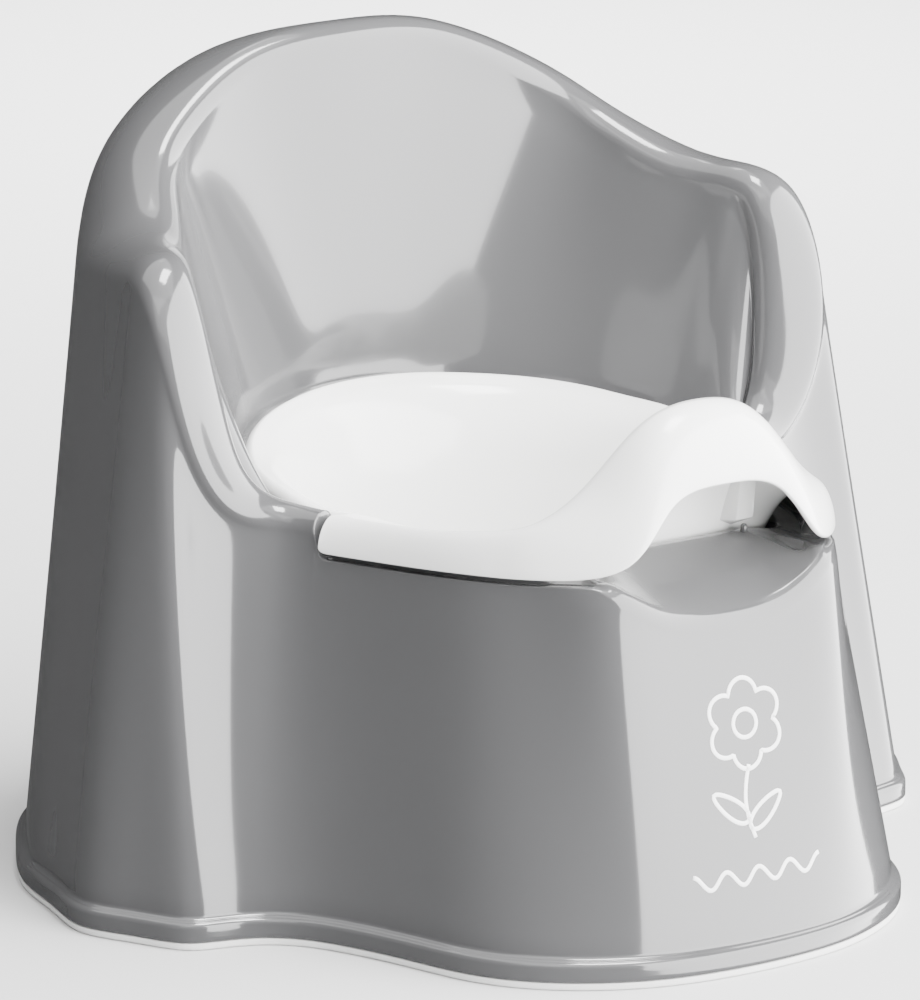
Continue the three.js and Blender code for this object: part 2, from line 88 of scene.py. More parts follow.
# Outer edge of the ledge that carries the potty (x, y, z), and the width of that ledge.
LEDGE = [
    [0, -112.5, 157], [21, -112.5, 157], [40, -111, 156.5], [57.5, -105.5, 153.5], [69.5, -91, 152],
    [78.5, -69, 153], [85.5, -47, 155], [93.5, -28, 157], [102.5, -13, 158.5], [105.8, -3, 160],
    [106.5, 5, 161], [106, 15, 162], [105, 25, 163], [101.5, 39, 164], [95.5, 53, 165],
    [86, 69, 167], [71, 86, 169], [51, 101, 170.5], [26, 111.5, 172], [0, 115, 172.5],
]
LEDGE_WIDTH = [5, 5, 5, 5, 5, 5.5, 6, 7.5, 9, 9, 9, 9, 9, 9, 9, 9, 9, 9, 9, 9]
# Height of the step in the front lobe's wall that the potty's lips sit on. It ends with the lips, so the
# stations from the arms to the back share one value.
STEP_HEIGHT = [139, 142, 153, 152.5, 151.2, 149.8, 148.6] + 13 * [148]
FOOT_INSET, FOOT_HEIGHT = 4.1, 4.5
STEP_TO_LEDGE = 0.5
# Where the step and the lips end, and where the bowl's crest leaves the lips, counted in stations.
STEP_END, STEP_FADE = 7.25, 0.06
LIP_END, LIP_FADE = 7.18, 0.05
BOWL_FRONT_FADE = 4.6
# The lower edge of the splash guard's arch, and the crest of its guard and lips.
GUARD_EDGE = [[0, -150, 190], [25, -150, 184.5], [45, -148, 163]]
GUARD_CREST = [
    [0, -128, 218], [25, -127, 211.5], [46, -122, 190], [65, -114, 175], [77, -96, 169.5],
    [86.5, -74, 166.5], [93.5, -51, 165], [100.5, -30, 164],
]
# The bowl's rows: share of the crest's plan size, height, and how far the crest's height carries in.
BOWL_CENTRE_Y = -6
BOWL_CREST_HEIGHT = 163
BOWL_ROWS = [
    [0.93, 160.8, 0.8], [0.86, 154.3, 0.5], [0.805, 142, 0.24], [0.765, 120, 0.05], [0.72, 84, 0],
    [0.69, 69, 0], [0.64, 58, 0], [0.56, 52, 0], [0.45, 49.5, 0], [0.22, 48.2, 0],
]
BOWL_FLOOR = 48
# Small details under the splash guard. A rib stands between two places, which are counted in stations.
RIB_PLACES = (1.3, 1.72)
RIB_SHARES = (0.94, 0.83)
RIB_FRONT_Y = -114
RIB_BOTTOM = 162
RIB_ROUNDING = 0.5
NUB_X, NUB_Y = 34, -113
NUB_RADIUS, NUB_TAPER = 1.6, 0.8
NUB_BOTTOM, NUB_TOP = 155.5, 160
NUB_SIDES = 32

# ---- Smooth closed curves through the stations -----------------------------------------------------------

STATIONS = len(BASE)
LOOP = 2 * (STATIONS - 1)
COLUMNS_PER_STATION = 12
FINE_FROM, FINE_TO, FINE_STEP = 7.04, 7.36, 0.01
SPLINE_PASSES = 40
TINY = 1e-9
UP = np.array([0.0, 0.0, 1.0])


def ring(stations):
    """The stations of both sides as one ring. A list of plain numbers stays the same on both sides."""
    rows = np.array(stations, float)
    if rows.ndim == 1:
        rows = rows[:, None]
        return np.concatenate([rows, rows[-2:0:-1]])
    mirrored = rows[-2:0:-1].copy()
    mirrored[:, 0] *= -1
    return np.concatenate([rows, mirrored])


def control_points(points):
    """The control points of the uniform cubic B-spline that passes through every point of a ring."""
    controls = points.copy()
    for _ in range(SPLINE_PASSES):
        controls = (6 * points - np.roll(controls, 1, 0) - np.roll(controls, -1, 0)) / 4
    return controls


def evaluate(controls, t):
    """The cubic B-spline of a ring of control points at each t, counted in stations."""
    wrapped = np.mod(t, len(controls))
    i = np.floor(wrapped).astype(int)
    f = (wrapped - i)[:, None]
    weights = (
        (1 - f) ** 3 / 6,
        (3 * f**3 - 6 * f**2 + 4) / 6,
        (-3 * f**3 + 3 * f**2 + 3 * f + 1) / 6,
        f**3 / 6,
    )
    return sum(weight * controls[(i + k - 1) % len(controls)] for k, weight in enumerate(weights))


def smooth_step(start, end, value):
    f = np.clip((value - start) / (end - start), 0, 1)
    return f * f * (3 - 2 * f)


def along_side(t):
    """Position along one side, from 0 at the front to STATIONS - 1 at the back, for any t of the loop."""
    wrapped = np.mod(t, LOOP)
    return np.where(wrapped > LOOP / 2, LOOP - wrapped, wrapped)


def unit(vectors):
    return vectors / np.maximum(np.linalg.norm(vectors, axis=-1, keepdims=True), TINY)


def at_height(flat, height):
    return np.concatenate([flat, np.broadcast_to(height, (len(flat), 1))], 1)


CURVES = {
    "base": control_points(ring(BASE)),
    "crest": control_points(ring(CREST)),
    "roll_inside": control_points(ring(ROLL_INSIDE)),
    "roll_width": control_points(ring(ROLL_WIDTH)),
    "roll_height": control_points(ring(ROLL_HEIGHT)),
    "ledge": control_points(ring(LEDGE)),
    "ledge_width": control_points(ring(LEDGE_WIDTH)),
    "step_height": control_points(ring(STEP_HEIGHT)),
}


def curve(name, t):
    return evaluate(CURVES[name], t)


def column_places():
    """Where the columns stand: even along the loop, and closer together at the ends of the lips."""
    even = np.arange(0, STATIONS - 1, 1 / COLUMNS_PER_STATION)
    even = even[(even < FINE_FROM) | (even > FINE_TO)]
    side = np.sort(np.concatenate([even, np.arange(FINE_FROM, FINE_TO, FINE_STEP), [STATIONS - 1]]))
    return np.concatenate([side, LOOP - side[-2:0:-1]])


PLACES = column_places()


def refined(points, count):
    """A smooth line through the points of a section, with count steps from each point to the next."""
    points = np.array(points, float)
    padded = np.concatenate([2 * points[:1] - points[1:2], points, 2 * points[-1:] - points[-2:-1]])
    line = []
    for i in range(1, len(points)):
        before, start, end, after = padded[i - 1:i + 3]
        for step in range(count):
            f = step / count
            line.append(0.5 * (
                2 * start + (end - before) * f + (2 * before - 5 * start + 4 * end - after) * f**2
                + (3 * start - before - 3 * end + after) * f**3
            ))
    line.append(points[-1])
    return np.array(line)


def arc(centre, radius, start, end, steps):
    """Points on an arc in a section, from one angle to another, in degrees."""
    angles = np.radians(np.linspace(start, end, steps))
    return [(centre[0] + radius * math.cos(a), centre[1] + radius * math.sin(a)) for a in angles]


# ---- The chair's outer surface ---------------------------------------------------------------------------

TANGENT_REACH = 0.25
OUTLINE_REACH = 0.001
FOOT_RISE = 40
SHOULDER_REACH = 0.6
WALL_STEPS = 26
OUTER_ROLL_STEPS = 15
INNER_ROLL_STEPS = 9
EDGE_RADIUS = 2.4
FOOT_RADIUS = 2.2
UNDER_RADIUS = 0.5
EDGE_DROP = 0.4
# Arcs of the flange's section: the start and end angle in degrees, and the number of points.
UNDER_ARC = (270, 180, 4)
EDGE_ARC = (180, 98, 9)
FILLET_ARC = (278, 355, 8)
FACE_SHARES = (0.33, 0.67)


def base_normal(t):
    along = curve("base", t + OUTLINE_REACH) - curve("base", t - OUTLINE_REACH)
    return unit(np.stack([along[:, 1], -along[:, 0], np.zeros(len(t))], 1))


def rim_frame(t):
    """The directions at each place along the rim: out of the crest, and out of the wall."""
    ledge = curve("ledge", t)
    foot = at_height(curve("base", t), ledge[:, 2:])
    along = unit(curve("crest", t + TANGENT_REACH) - curve("crest", t - TANGENT_REACH))
    away = unit(foot - ledge)
    rise = unit(np.cross(away, along))
    return rise, unit(np.cross(along, rise))


def flange_section():
    """The flange's section: how far in from the base outline, and at which height."""
    under = arc((UNDER_RADIUS, FLANGE_BOTTOM + UNDER_RADIUS), UNDER_RADIUS, *UNDER_ARC)
    edge = arc((EDGE_RADIUS, FLANGE_TOP - EDGE_DROP - EDGE_RADIUS), EDGE_RADIUS, *EDGE_ARC)
    fillet = arc((FOOT_INSET - FOOT_RADIUS, FLANGE_TOP + FOOT_RADIUS), FOOT_RADIUS, *FILLET_ARC)
    low, high = under[-1][1], edge[0][1]
    face = [(0, low + (high - low) * share) for share in FACE_SHARES]
    return under + face + edge + fillet + [(FOOT_INSET, FLANGE_TOP + FOOT_HEIGHT)]


def flange_rows(t):
    normal = base_normal(t)
    flat = curve("base", t)
    return [at_height(flat, height) - normal * inset for inset, height in flange_section()]


def bezier(start, start_pull, end_pull, end, f):
    """The place at share f of a cubic Bezier curve."""
    g = 1 - f
    return start * g**3 + start_pull * (3 * f * g * g) + end_pull * (3 * f * f * g) + end * f**3


def rim_arc(centre, across, up, start, end, steps):
    """Rows on a part of an ellipse with the half axes across and up, between two angles in radians."""
    angles = np.linspace(start, end, steps + 1)
    return [centre + across * math.cos(angle) + up * math.sin(angle) for angle in angles]


def wall_and_shoulder(t):
    """The wall from the flange to the roll, then the outer half of the roll up to the crest."""
    rise, out = rim_frame(t)
    across = out * curve("roll_width", t)
    up = rise * curve("roll_height", t)
    foot = flange_rows(t)[-1]
    centre = curve("crest", t) - up
    shoulder = centre + across
    foot_pull = foot + unit(shoulder - foot) * FOOT_RISE
    shoulder_pull = shoulder - up * SHOULDER_REACH
    shares = np.linspace(0, 1, WALL_STEPS + 2)[1:-1]
    wall = [bezier(foot, foot_pull, shoulder_pull, shoulder, f) for f in shares]
    roll = rim_arc(centre, across, up, 0, math.pi / 2, OUTER_ROLL_STEPS)
    return foot, wall, roll


def on_wall(t, height):
    """The place where the outer surface reaches a given height, for each t."""
    foot, wall, roll = wall_and_shoulder(t)
    lines = np.stack([foot, *wall, *roll], 1)
    heights = np.broadcast_to(np.ravel(height), (len(t),))
    places = []
    for line, wanted in zip(lines, heights):
        reached = np.argmax(line[:, 2] >= wanted) if line[-1, 2] >= wanted else len(line) - 1
        low, high = line[max(reached - 1, 0)], line[reached]
        share = (wanted - low[2]) / (high[2] - low[2]) if high[2] > wanted > low[2] else 1
        places.append(low + (high - low) * min(share, 1))
    return np.array(places)


# ---- The chair's section ---------------------------------------------------------------------------------

# The step that the lips sit on, and the ridge that they hook over: inward and upward distances.
STEP_SECTION = [
    (0, -1.2), (0.5, -0.1), (3.2, 0), (3.7, 0.3), (4.1, 4), (5.6, 5.6), (9, 5.4), (11.6, 3), (12.2, 1.2),
]
SECTION_STEPS = (OUTER_ROLL_STEPS + INNER_ROLL_STEPS) // (len(STEP_SECTION) - 1)
RIDGE_FOOT = 3
STEP_UNDERCUT = 1.2
# Where the step, the ridge and the finger recess start and end, counted in stations.
STEP_START, STEP_FULL = 1.9, 2.35
LEDGE_STEP_FULL = 2.8
RIDGE_START, RIDGE_FULL = 2.85, 3.35
RIDGE_LAST, RIDGE_GONE = 6.9, 7.05
RECESS_FULL, RECESS_END = 1.7, 2.2
# The corner where the step and the lips end: the station where it starts, and its radius.
CORNER_START, CORNER_RADIUS = 7, 4
# The slope behind the rim: its rows, and the share of a step left between the last row and the ledge.
BACK_STEPS, BACK_REST = 14, 0.3
# The finger recess: how far its rim turns, in degrees, and where the rim ends in the slope.
RECESS_TURN = 60
RECESS_FOLD_SHARE, RECESS_FOLD_HEIGHT, RECESS_FOLD_LIFT = 0.3, 149, 0.7
# The ledge: where it starts and how far its middle sags. Then the collar round the potty's hole, as
# distances past the hole's edge and heights over the ledge, and the start of the ledge's underside.
LEDGE_START, LEDGE_SAG = 0.9, 0.2
COLLAR_SECTION = [(-1.4, -0.4), (-0.5, -0.8), (0, -1.6), (0, -3.5), (0, -COLLAR_DEPTH)]
COLLAR_FILLET = 1
UNDERSIDE_START = 0.6


def corner_rise(t, end):
    """How far an edge rises in a quarter circle towards its end, which rounds the corner there."""
    run = np.clip((along_side(t) - CORNER_START) / (end - CORNER_START), 0, 1)[:, None]
    return CORNER_RADIUS * (1 - np.sqrt(1 - run**2))


def step_heights(t):
    return curve("step_height", t) + corner_rise(t, STEP_END - STEP_FADE)


def step_share(t):
    """How much of the step there is: none in the finger recess, on the arms or at the back."""
    side = along_side(t)
    before = smooth_step(STEP_START, STEP_FULL, side)
    return (before * (1 - smooth_step(STEP_END - STEP_FADE, STEP_END + STEP_FADE, side)))[:, None]


def ledge_points(t):
    ledge = curve("ledge", t)
    share = step_share(t)[:, 0] * smooth_step(STEP_START, LEDGE_STEP_FULL, along_side(t))
    ledge[:, 2] = ledge[:, 2] * (1 - share) + (curve("step_height", t)[:, 0] + STEP_TO_LEDGE) * share
    return ledge


def flattened(vectors):
    return unit(vectors * [1, 1, 0])


def recess_rim(t, roll, rise, out, crest):
    """The roll, changed in the finger recess: it turns straight into the slope up to the ledge."""
    in_recess = (1 - smooth_step(RECESS_FULL, RECESS_END, along_side(t)))[:, None]
    across = out * curve("roll_width", t)
    up = rise * curve("roll_height", t)
    fold = crest + (curve("ledge", t) - crest) * RECESS_FOLD_SHARE
    fold[:, 2] += np.maximum(RECESS_FOLD_HEIGHT - fold[:, 2], 0) * RECESS_FOLD_LIFT
    bent = rim_arc(crest - up, across, up, 0, math.radians(RECESS_TURN), OUTER_ROLL_STEPS)
    top = bent[-1]
    bent += [top + (fold - top) * f for f in np.linspace(0, 1, INNER_ROLL_STEPS + 1)[1:]]
    return [place + (other - place) * in_recess for place, other in zip(roll, bent)]


def chair_rows(t, with_step):
    """The rows of points from the foot of the flange, over the rim, to the ledge round the potty's hole.

    Without the step, the rows run lower along the lips and make the wall's hidden face."""
    foot, wall, roll = wall_and_shoulder(t)
    rise, out = rim_frame(t)
    crest = curve("crest", t)
    radius = curve("roll_inside", t)
    centre = crest - rise * radius
    roll += rim_arc(centre, out * radius, rise * radius, math.pi / 2, math.pi, INNER_ROLL_STEPS)[1:]
    roll = recess_rim(t, roll, rise, out, crest)
    share = step_share(t)
    step_height = step_heights(t)
    edge = on_wall(t, step_height)
    inward = -flattened(out)
    side = along_side(t)
    ridge = smooth_step(RIDGE_START, RIDGE_FULL, side) * (1 - smooth_step(RIDGE_LAST, RIDGE_GONE, side))
    drop = np.maximum(crest[:, 2:] - step_height, 0)
    section = refined(STEP_SECTION, SECTION_STEPS)
    top = []
    for i, place in enumerate(roll):
        across, height = section[i]
        foot_height = min(height, STEP_SECTION[RIDGE_FOOT][1])
        lift = foot_height + (height - foot_height) * ridge[:, None]
        stepped = edge + inward * across + UP * lift
        lowered = place - UP * drop
        top.append(place * (1 - share) + (stepped if with_step else lowered) * share)
    wall_top = step_height - (STEP_UNDERCUT if with_step else 2 * STEP_UNDERCUT + radius)
    sides = []
    for i, place in enumerate(wall):
        height = foot[:, 2:] + (wall_top - foot[:, 2:]) * (i + 1) / (WALL_STEPS + 1)
        sides.append(place * (1 - share) + on_wall(t, height) * share)
    ledge = ledge_points(t)
    steps = range(1, BACK_STEPS + 1)
    back = [top[-1] + (ledge - top[-1]) * i / (BACK_STEPS + BACK_REST) for i in steps]
    return flange_rows(t) + sides + top + back, ledge


def ledge_rows(t, ledge):
    """The ledge and the short collar round the potty's hole, seen from above and then from below."""
    inward = -flattened(ledge)
    width = curve("ledge_width", t)

    def place(across, height):
        return ledge + inward * across + UP * height

    above = [place(LEDGE_START, 0), place(width / 2, -LEDGE_SAG)]
    above += [place(width + across, height) for across, height in COLLAR_SECTION]
    below = [place(width - CHAIR_WALL, -height) for height in (COLLAR_DEPTH, COLLAR_FILLET + CHAIR_WALL)]
    below.append(place(UNDERSIDE_START, -LEDGE_SAG - CHAIR_WALL))
    return above, below


# ---- Meshes from rows of points --------------------------------------------------------------------------

def offset_rows(rows, distance):
    """The same grid moved along its own normals, to make the other face of a thin wall."""
    grid = np.stack(rows)
    around = np.roll(grid, -1, 1) - np.roll(grid, 1, 1)
    padded = np.concatenate([grid[:1], grid, grid[-1:]])
    up = padded[2:] - padded[:-2]
    normal = unit(np.cross(around, up))
    return list(grid + normal * distance)


def mesh_piece(name, vertices, faces, body, node, material):
    mesh = bpy.data.meshes.new(name)
    mesh.from_pydata((np.asarray(vertices) * MM).tolist(), [], faces)
    mesh.update()
    mesh.shade_smooth()
    mesh.materials.append(material)
    piece = bpy.data.objects.new(name, mesh)
    bpy.context.scene.collection.objects.link(piece)
    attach(piece, body)
    if node:
        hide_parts(node)


def ring_faces(row_count, column_count, closed):
    """Faces between neighbouring rows, all the way round. closed also joins the last row to the first."""
    faces = []
    for j in range(row_count if closed else row_count - 1):
        low, high = j * column_count, (j + 1) % row_count * column_count
        for i in range(column_count):
            after = (i + 1) % column_count
            faces.append((low + i, low + after, high + after, high + i))
    return faces


def chair_shell(material):
    rows, ledge = chair_rows(PLACES, True)
    core, _ = chair_rows(PLACES, False)
    above, below = ledge_rows(PLACES, ledge)
    hidden = offset_rows(core, -CHAIR_WALL)[:-1][::-1]
    hidden[-1][:, 2] = FLANGE_BOTTOM
    every = rows + above + below + hidden
    vertices = np.concatenate(every)
    faces = ring_faces(len(every), len(PLACES), True)
    mesh_piece("chair_shell_fine", vertices, faces, "chair", "chair_shell", material)


STRIP_ROUNDING = 0.6
STRIP_TOP_POINTS, STRIP_FLOOR_POINTS = 5, 7


def grip_strip(material):
    low, high = STRIP_INSET, STRIP_INSET + STRIP_WIDTH
    top = STRIP_HEIGHT - STRIP_ROUNDING
    section = arc((low + STRIP_ROUNDING, top), STRIP_ROUNDING, 180, 90, STRIP_TOP_POINTS)
    section += arc((high - STRIP_ROUNDING, top), STRIP_ROUNDING, 90, 0, STRIP_TOP_POINTS)
    section.append((high, 0))
    floor_radius = 2 * STRIP_ROUNDING
    section += arc((low + floor_radius, floor_radius), floor_radius, 270, 180, STRIP_FLOOR_POINTS)
    normal = base_normal(PLACES)
    flat = curve("base", PLACES)
    rows = [at_height(flat, height) - normal * inset for inset, height in section]
    faces = ring_faces(len(rows), len(PLACES), True)
    mesh_piece(
        "grip_strip_fine", np.concatenate(rows), faces, "chair", "grip_strip", material)


# ---- The potty -------------------------------------------------------------------------------------------

EDGE_STEPS = 14
BOWL_STEPS = 5
ROUND_STEPS = 5
ARCH_SHARE_FROM, ARCH_SHARE_TO = 3, 4
LEAN = 0.12
EDGE_DEPTH = 0.8


def lip_edge(t):
    """The lower outer edge of the lips: it stands a little proud of the wall and clear of the step."""
    _, out = rim_frame(t)
    edge = on_wall(t, curve("step_height", t) + LIP_GAP)
    return edge + flattened(out) * LIP_OVERHANG + UP * corner_rise(t, LIP_END)


def guard_curves():
    """The lower edge and the crest of the guard and the lips, all round as one ring of stations."""
    stations = np.arange(STATIONS, dtype=float)
    edge = lip_edge(stations)
    edge[:len(GUARD_EDGE)] = GUARD_EDGE
    crest = np.array(CREST, float)
    crest[:len(GUARD_CREST)] = GUARD_CREST
    return control_points(ring(edge)), control_points(ring(crest))


GUARD_EDGE_CURVE, GUARD_CREST_CURVE = guard_curves()


def potty_lines(t):
    """The potty's outer edge, its crest, and the bowl's crest, which runs smoothly past the lips' ends."""
    side = along_side(t)
    ledge = curve("ledge", t)
    inward = -flattened(ledge)
    rim_edge = ledge + inward * POTTY_RIM_INSET + UP * RIM_REST_GAP
    rim_crest = rim_edge + inward * POTTY_RIM_RADIUS + UP * POTTY_RIM_RADIUS
    arch = (1 - smooth_step(ARCH_SHARE_FROM, ARCH_SHARE_TO, side))[:, None]
    front_edge = lip_edge(t) * (1 - arch) + evaluate(GUARD_EDGE_CURVE, t) * arch
    front_crest = evaluate(GUARD_CREST_CURVE, t)
    front = (1 - smooth_step(LIP_END - LIP_FADE, LIP_END + LIP_FADE, side))[:, None]
    bowl_front = (1 - smooth_step(BOWL_FRONT_FADE, LIP_END - LIP_FADE, side))[:, None]
    return (
        rim_edge * (1 - front) + front_edge * front,
        rim_crest * (1 - front) + front_crest * front,
        rim_crest * (1 - bowl_front) + front_crest * bowl_front,
    )


def bowl_row(bowl_crest, share, height, carry):
    """A row of the bowl: the crest made smaller, at a height that carries some of the crest's own."""
    flat = bowl_crest[:, :2] * share
    flat[:, 1] += BOWL_CENTRE_Y * (1 - share)
    return at_height(flat, height + (bowl_crest[:, 2:] - BOWL_CREST_HEIGHT) * carry)


def potty_rows(t):
    """The rows from the outer edge, over the crest, down into the bowl."""
    edge, crest, bowl_crest = potty_lines(t)
    corner = edge + (crest - edge) * LEAN
    corner[:, 2] = crest[:, 2]
    centre = edge + crest - corner
    rows = rim_arc(centre, edge - centre, crest - centre, 0, math.pi / 2, EDGE_STEPS)
    bowl = refined([(1, BOWL_CREST_HEIGHT, 1), *BOWL_ROWS], BOWL_STEPS)
    first = len(rows)
    for share, height, carry in bowl[1:]:
        rows.append(bowl_row(bowl_crest, share, height, carry))
    # Between the crest and the bowl's first row, the rim's top follows the crest itself.
    bowl_start = rows[first + BOWL_STEPS - 1]
    for i in range(BOWL_STEPS - 1):
        f = (i + 1) / BOWL_STEPS
        straight = crest + (bowl_start - crest) * f
        row = straight + (rows[first + i] - straight) * smooth_step(0, 1, f)
        row[:, 2] = np.maximum(row[:, 2], straight[:, 2])
        rows[first + i] = row
    return rows


def rounded_edge(upper, lower, steps):
    """Rows round the thin edge between the first upper row and the first lower row."""
    centre = (upper[0] + lower[0]) / 2
    across = upper[0] - centre
    radius = np.linalg.norm(across, axis=1, keepdims=True)
    ahead = upper[0] - upper[1] + lower[0] - lower[1]
    ahead = unit(ahead - across * (ahead * across).sum(1, keepdims=True) / radius**2)
    rows = []
    for angle in np.linspace(-math.pi / 2, math.pi / 2, steps + 2)[1:-1]:
        rows.append(centre + across * math.sin(angle) + ahead * radius * math.cos(angle) * EDGE_DEPTH)
    return rows


def inner_potty(material):
    upper = potty_rows(PLACES)
    lower = offset_rows(upper, -POTTY_WALL)
    every = lower[::-1] + rounded_edge(upper, lower, ROUND_STEPS) + upper
    count = len(PLACES)
    vertices = list(np.concatenate(every))
    faces = ring_faces(len(every), count, False)
    underside, floor = len(vertices), len(vertices) + 1
    vertices.append(np.array([0, BOWL_CENTRE_Y, BOWL_FLOOR - POTTY_WALL]))
    vertices.append(np.array([0, BOWL_CENTRE_Y, BOWL_FLOOR]))
    last = (len(every) - 1) * count
    for i in range(count):
        after = (i + 1) % count
        faces.append((underside, after, i))
        faces.append((floor, last + i, last + after))
    mesh_piece("inner_potty_fine", vertices, faces, "potty", "inner_potty", material)


# ---- Small details ---------------------------------------------------------------------------------------

# The arc of a nub's rounded top: start and end angle in degrees, and the number of points.
NUB_TOP_ARC = (0, 84, 7)
BEVEL_STEPS = 3
FLAT_ANGLE = math.radians(1)


def nub(name, x, material):
    """A small round pin on the ledge under the guard, with a rounded top."""
    top = NUB_RADIUS * NUB_TAPER
    profile = [(NUB_RADIUS, NUB_BOTTOM), *arc((0, NUB_TOP - top), top, *NUB_TOP_ARC)]
    vertices = []
    for radius, height in profile:
        for i in range(NUB_SIDES):
            angle = 2 * math.pi * i / NUB_SIDES
            vertices.append((x + radius * math.cos(angle), NUB_Y + radius * math.sin(angle), height))
    faces = ring_faces(len(profile), NUB_SIDES, False)
    faces.append(list(range(NUB_SIDES))[::-1])
    faces.append([(len(profile) - 1) * NUB_SIDES + i for i in range(NUB_SIDES)])
    mesh_piece(name, vertices, faces, "chair", None, material)


def inside_bowl_wall(t, share):
    """A point inside the bowl's wall, at a place along the crest and a share of the crest's plan size."""
    _, _, bowl_crest = potty_lines(np.array([t], float))
    rows = [(1, BOWL_CREST_HEIGHT, 1), *BOWL_ROWS]
    i = next(i for i, row in enumerate(rows) if row[0] <= share)
    f = (rows[i - 1][0] - share) / (rows[i - 1][0] - rows[i][0])
    height, carry = (rows[i - 1][k] + (rows[i][k] - rows[i - 1][k]) * f for k in (1, 2))
    return bowl_row(bowl_crest, share, height, carry)[0] - UP * POTTY_WALL


def rib(name, places, material):
    """The rib that stiffens the guard's arch: it stands on the bowl's front wall, under the guard."""
    corners = []
    for t in places:
        in_wall = [inside_bowl_wall(t, share) for share in RIB_SHARES]
        corners += in_wall
        corners.append(np.array([in_wall[0][0], RIB_FRONT_Y, RIB_BOTTOM]))
    mesh = bmesh.new()
    for corner in corners:
        mesh.verts.new(corner)
    bmesh.ops.convex_hull(mesh, input=mesh.verts)
    bmesh.ops.recalc_face_normals(mesh, faces=mesh.faces)
    bmesh.ops.dissolve_limit(mesh, angle_limit=FLAT_ANGLE, verts=mesh.verts, edges=mesh.edges)
    bmesh.ops.bevel(
        mesh, geom=mesh.edges[:], offset=RIB_ROUNDING, segments=BEVEL_STEPS, profile=0.5,
        affect="EDGES", clamp_overlap=True)
    mesh.verts.index_update()
    vertices = [vertex.co[:] for vertex in mesh.verts]
    faces = [[vertex.index for vertex in face.verts] for face in mesh.faces]
    mesh.free()
    mesh_piece(name, vertices, faces, "potty", None, material)


# ---- The printed motif on the front: a flower over a wave ------------------------------------------------

INK_WIDTH, INK_HEIGHT = 1.7, 0.14
INK_STEP, LEAST_INK_POINTS = 1, 8
# The ink's section: shares of its width across the line, and of its height out of the wall.
INK_SECTION = [(-0.5, -1), (-0.5, 0.4), (-0.42, 1), (0.42, 1), (0.5, 0.4), (0.5, -1)]
FLOWER_X, FLOWER_Z = 3, 95
PETALS = 6
PETAL_REACH, PETAL_DEPTH, PETAL_ROUNDNESS = 17.5, 4.6, 0.8
BLOOM_POINTS = 240
FLOWER_EYE = 5.4
STEM_BOTTOM, STEM_SWAY, STEM_POINTS = 51, 3, 20
LEAF_LENGTH, LEAF_WIDTH, LEAF_END_SHARE, LEAF_POINTS = 19, 8.5, 0.6, 32
LEAF_TILT = math.radians(38)
# Where the leaves leave the stem: x from the flower's middle, height above the stem's foot, and direction.
LEAVES = [(-1.5, 4, 1), (-2.5, 7, -1)]
WAVE_Z, WAVE_HEIGHT, WAVE_LENGTH, WAVE_COUNT = 37, 3, 15, 4
WAVE_POINTS = 120
# The front wall's points on a grid of places and heights, to find y from x and z.
FRONT_REACH, FRONT_COLUMNS = 1.5, 61
FRONT_PLACES = np.linspace(-FRONT_REACH, FRONT_REACH, FRONT_COLUMNS)
FRONT_BOTTOM, FRONT_TOP, FRONT_STEP = 26, 124, 2
FRONT_ROWS = [on_wall(FRONT_PLACES, height) for height in range(FRONT_BOTTOM, FRONT_TOP, FRONT_STEP)]


def on_front(x, z):
    """The point of the front wall that stands at x and z."""
    row = np.clip((z - FRONT_BOTTOM) / FRONT_STEP, 0, len(FRONT_ROWS) - 1)
    low = min(int(row), len(FRONT_ROWS) - 2)
    f = row - low
    lower, upper = FRONT_ROWS[low], FRONT_ROWS[low + 1]
    y_low = np.interp(x, lower[:, 0], lower[:, 1])
    y_high = np.interp(x, upper[:, 0], upper[:, 1])
    return np.array([x, y_low + (y_high - y_low) * f, z])


def front_normal(x, z):
    across = on_front(x + 1, z) - on_front(x - 1, z)
    up = on_front(x, z + 1) - on_front(x, z - 1)
    return unit(np.cross(across, up))


def even_points(line, closed):
    """Points at even steps along a line of x and z."""
    line = np.array(line, float)
    if closed:
        line = np.concatenate([line, line[:1]])
    lengths = np.linalg.norm(np.diff(line, axis=0), axis=1)
    run = np.concatenate([[0], np.cumsum(lengths)])
    count = max(int(run[-1] / INK_STEP), LEAST_INK_POINTS)
    places = np.linspace(0, run[-1], count, endpoint=not closed)
    return np.stack([np.interp(places, run, line[:, k]) for k in (0, 1)], 1)


def ink_line(line, closed, vertices, faces):
    """A raised line of ink on the front wall, with a flat top and sloped sides, added to a mesh."""
    points = even_points(line, closed)
    if closed:
        along = np.roll(points, -1, 0) - np.roll(points, 1, 0)
    else:
        along = np.gradient(points, axis=0)
    along = unit(along)
    side = np.stack([-along[:, 1], along[:, 0]], 1)
    start, count, size = len(vertices), len(points), len(INK_SECTION)
    for (x, z), (side_x, side_z) in zip(points, side):
        for across, height in INK_SECTION:
            ink_x = x + side_x * across * INK_WIDTH
            ink_z = z + side_z * across * INK_WIDTH
            vertices.append(on_front(ink_x, ink_z) + front_normal(ink_x, ink_z) * height * INK_HEIGHT)
    for i in range(count if closed else count - 1):
        here, ahead = start + i * size, start + (i + 1) % count * size
        for k in range(size):
            after = (k + 1) % size
            faces.append((here + k, here + after, ahead + after, ahead + k))
    if not closed:
        faces.append([start + k for k in range(size)][::-1])
        faces.append([start + (count - 1) * size + k for k in range(size)])


